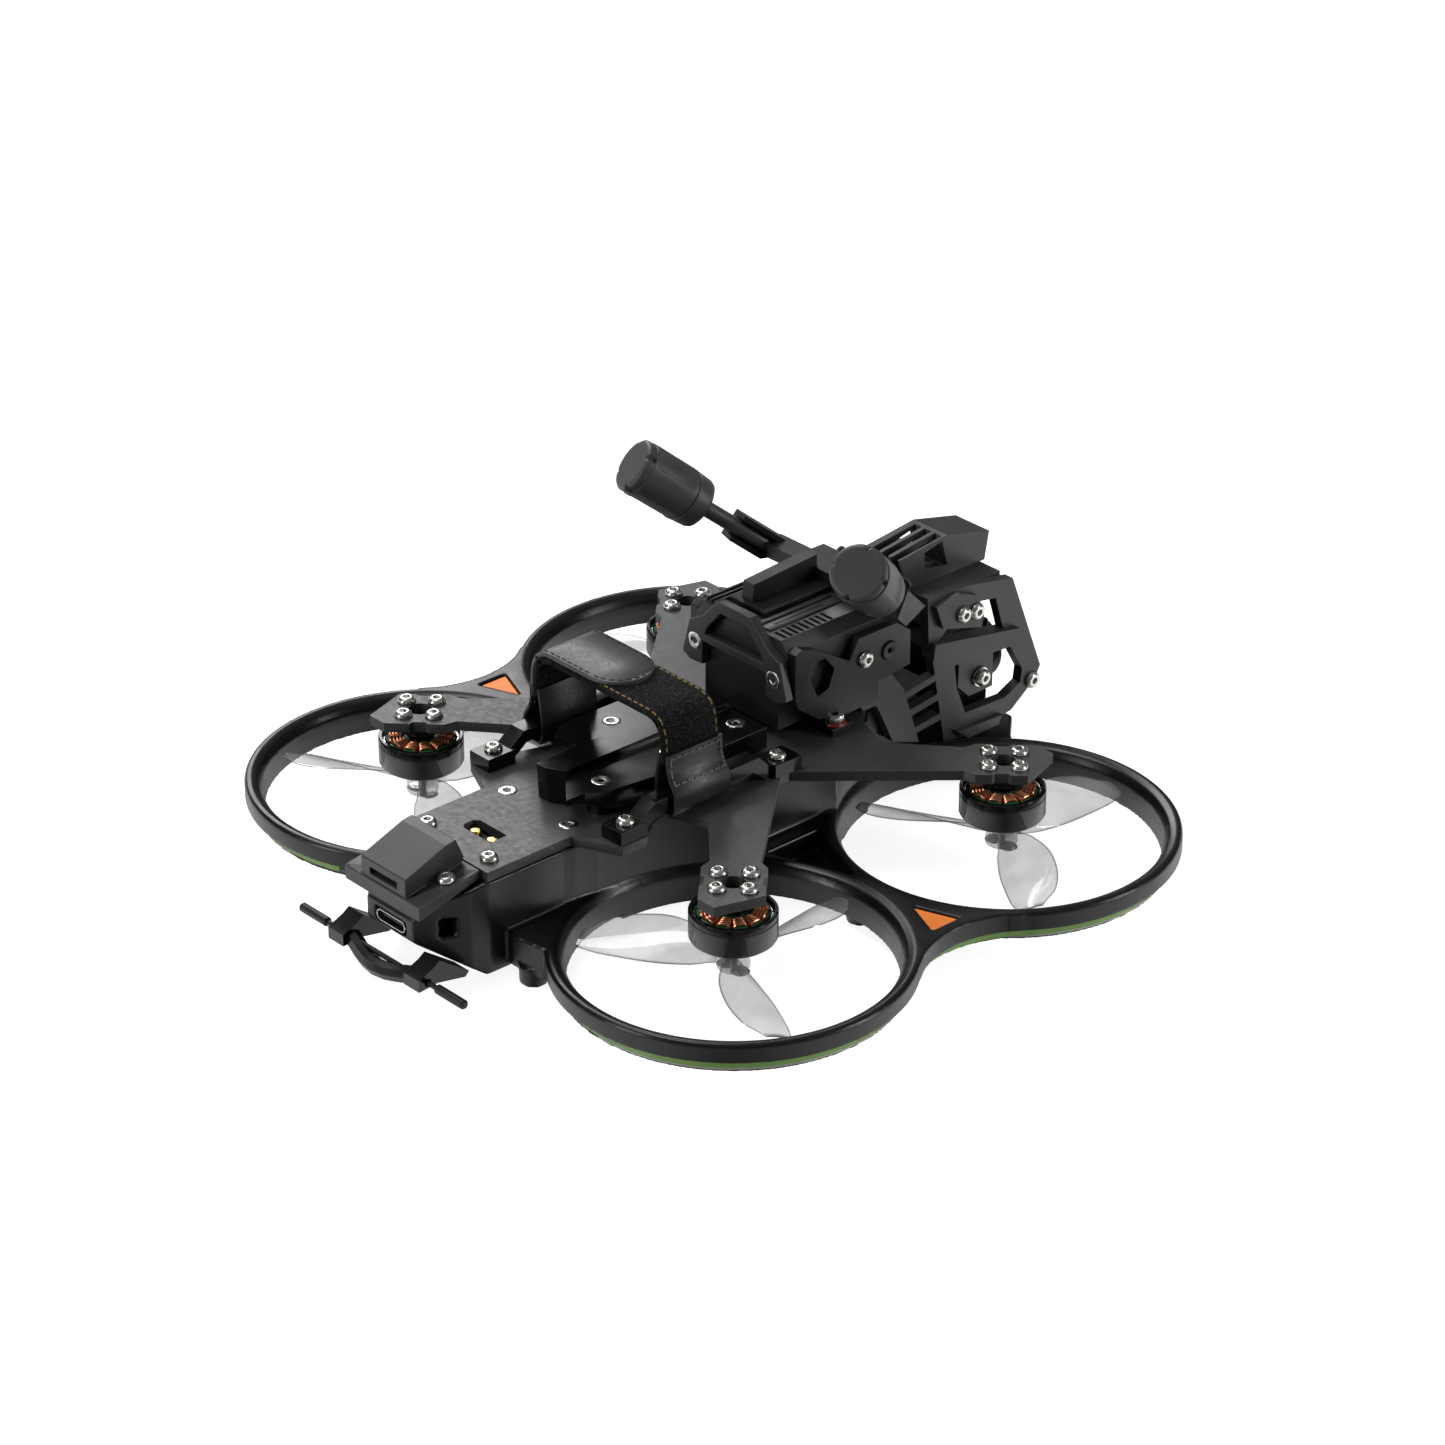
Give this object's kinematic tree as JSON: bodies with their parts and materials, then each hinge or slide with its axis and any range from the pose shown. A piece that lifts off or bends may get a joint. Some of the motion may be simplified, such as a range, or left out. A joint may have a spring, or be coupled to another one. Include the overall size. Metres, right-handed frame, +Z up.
{
  "type": "ducted racing drone",
  "caption": "Small four-duct camera drone with inverted pusher motors under a carbon plate, a strapped battery bay, twin video antennas and a tilting camera in a nose cage.",
  "frame": {"origin": "centre of the flat pad under the pod, on the ground plane, midway between the four motor axes", "axes": "+Y towards the camera at the nose, +X to the right-hand side, +Z up"},
  "size_m": [0.1724, 0.1745, 0.0758],
  "materials": {
    "moulding": "satin black fibre-filled nylon",
    "carbon": "matte carbon fibre sheet",
    "gloss_moulding": "smooth black moulding",
    "insert": "orange plastic",
    "light_strip": "green translucent strip",
    "laminations": "coated steel laminations",
    "copper": "enamelled copper wire",
    "bell_alloy": "black anodised",
    "propeller": "clear polycarbonate",
    "strap": "woven webbing with a smooth facing",
    "steel": "polished stainless steel",
    "pins": "gold plated",
    "circuit_board": "black solder mask",
    "capacitor_sleeve": "dark blue sleeve",
    "rubber": "soft black rubber",
    "unit_shell": "dark grey painted alloy",
    "antenna_cap": "dark grey plastic",
    "lens": "black barrel with a coated lens"
  },
  "bodies": {
    "airframe": {"duct_frame": "moulding", "main_plate": "carbon", "battery_tray": "gloss_moulding", "strap_rail_right": "gloss_moulding", "strap_rail_left": "gloss_moulding", "battery_strap": "strap", "tail_cap": "moulding", "usb_board": "circuit_board", "usb_socket": "steel", "receiver_board": "circuit_board", "receiver_antenna": "rubber", "antenna_holder": "gloss_moulding", "battery_connector": "gloss_moulding", "connector_pin_positive": "pins", "connector_pin_negative": "pins", "flight_controller": "circuit_board", "speed_controller": "circuit_board", "capacitor": "capacitor_sleeve", "video_unit": "unit_shell", "video_antenna_right": "antenna_cap", "video_antenna_left": "antenna_cap", "antenna_mount": "moulding", "arch_bracket": "moulding", "wing_right": "moulding", "wing_left": "moulding", "side_plate_right": "moulding", "side_plate_left": "moulding", "camera_hood": "moulding", "junction_insert_right": "insert", "junction_insert_left": "insert", "light_strip_right": "light_strip", "light_strip_left": "light_strip", "stator_front_right": "laminations", "windings_front_right": "copper", "stator_front_left": "laminations", "windings_front_left": "copper", "stator_rear_right": "laminations", "windings_rear_right": "copper", "stator_rear_left": "laminations", "windings_rear_left": "copper"},
    "camera": {"camera_body": "gloss_moulding", "camera_lens": "lens", "tilt_screw_right": "steel", "tilt_screw_left": "steel"},
    "rotor_front_right": {"bell_front_right": "bell_alloy", "propeller_front_right": "propeller"},
    "rotor_front_left": {"bell_front_left": "bell_alloy", "propeller_front_left": "propeller"},
    "rotor_rear_right": {"bell_rear_right": "bell_alloy", "propeller_rear_right": "propeller"},
    "rotor_rear_left": {"bell_rear_left": "bell_alloy", "propeller_rear_left": "propeller"}
  },
  "joints": [
    {"name": "rotor_front_right_spin", "type": "hinge", "parent": "airframe", "child": "rotor_front_right", "pos_m": [0.0488, 0.0375, 0.012], "axis": [0, 0, 1], "continuous": true},
    {"name": "rotor_front_left_spin", "type": "hinge", "parent": "airframe", "child": "rotor_front_left", "pos_m": [-0.0488, 0.0375, 0.012], "axis": [0, 0, 1], "continuous": true},
    {"name": "rotor_rear_right_spin", "type": "hinge", "parent": "airframe", "child": "rotor_rear_right", "pos_m": [0.0488, -0.0375, 0.012], "axis": [0, 0, 1], "continuous": true},
    {"name": "rotor_rear_left_spin", "type": "hinge", "parent": "airframe", "child": "rotor_rear_left", "pos_m": [-0.0488, -0.0375, 0.012], "axis": [0, 0, 1], "continuous": true},
    {"name": "camera_tilt", "type": "hinge", "parent": "airframe", "child": "camera", "pos_m": [0, 0.0649, 0.0208], "axis": [1, 0, 0], "range_deg": [-15, 40]}
  ]
}
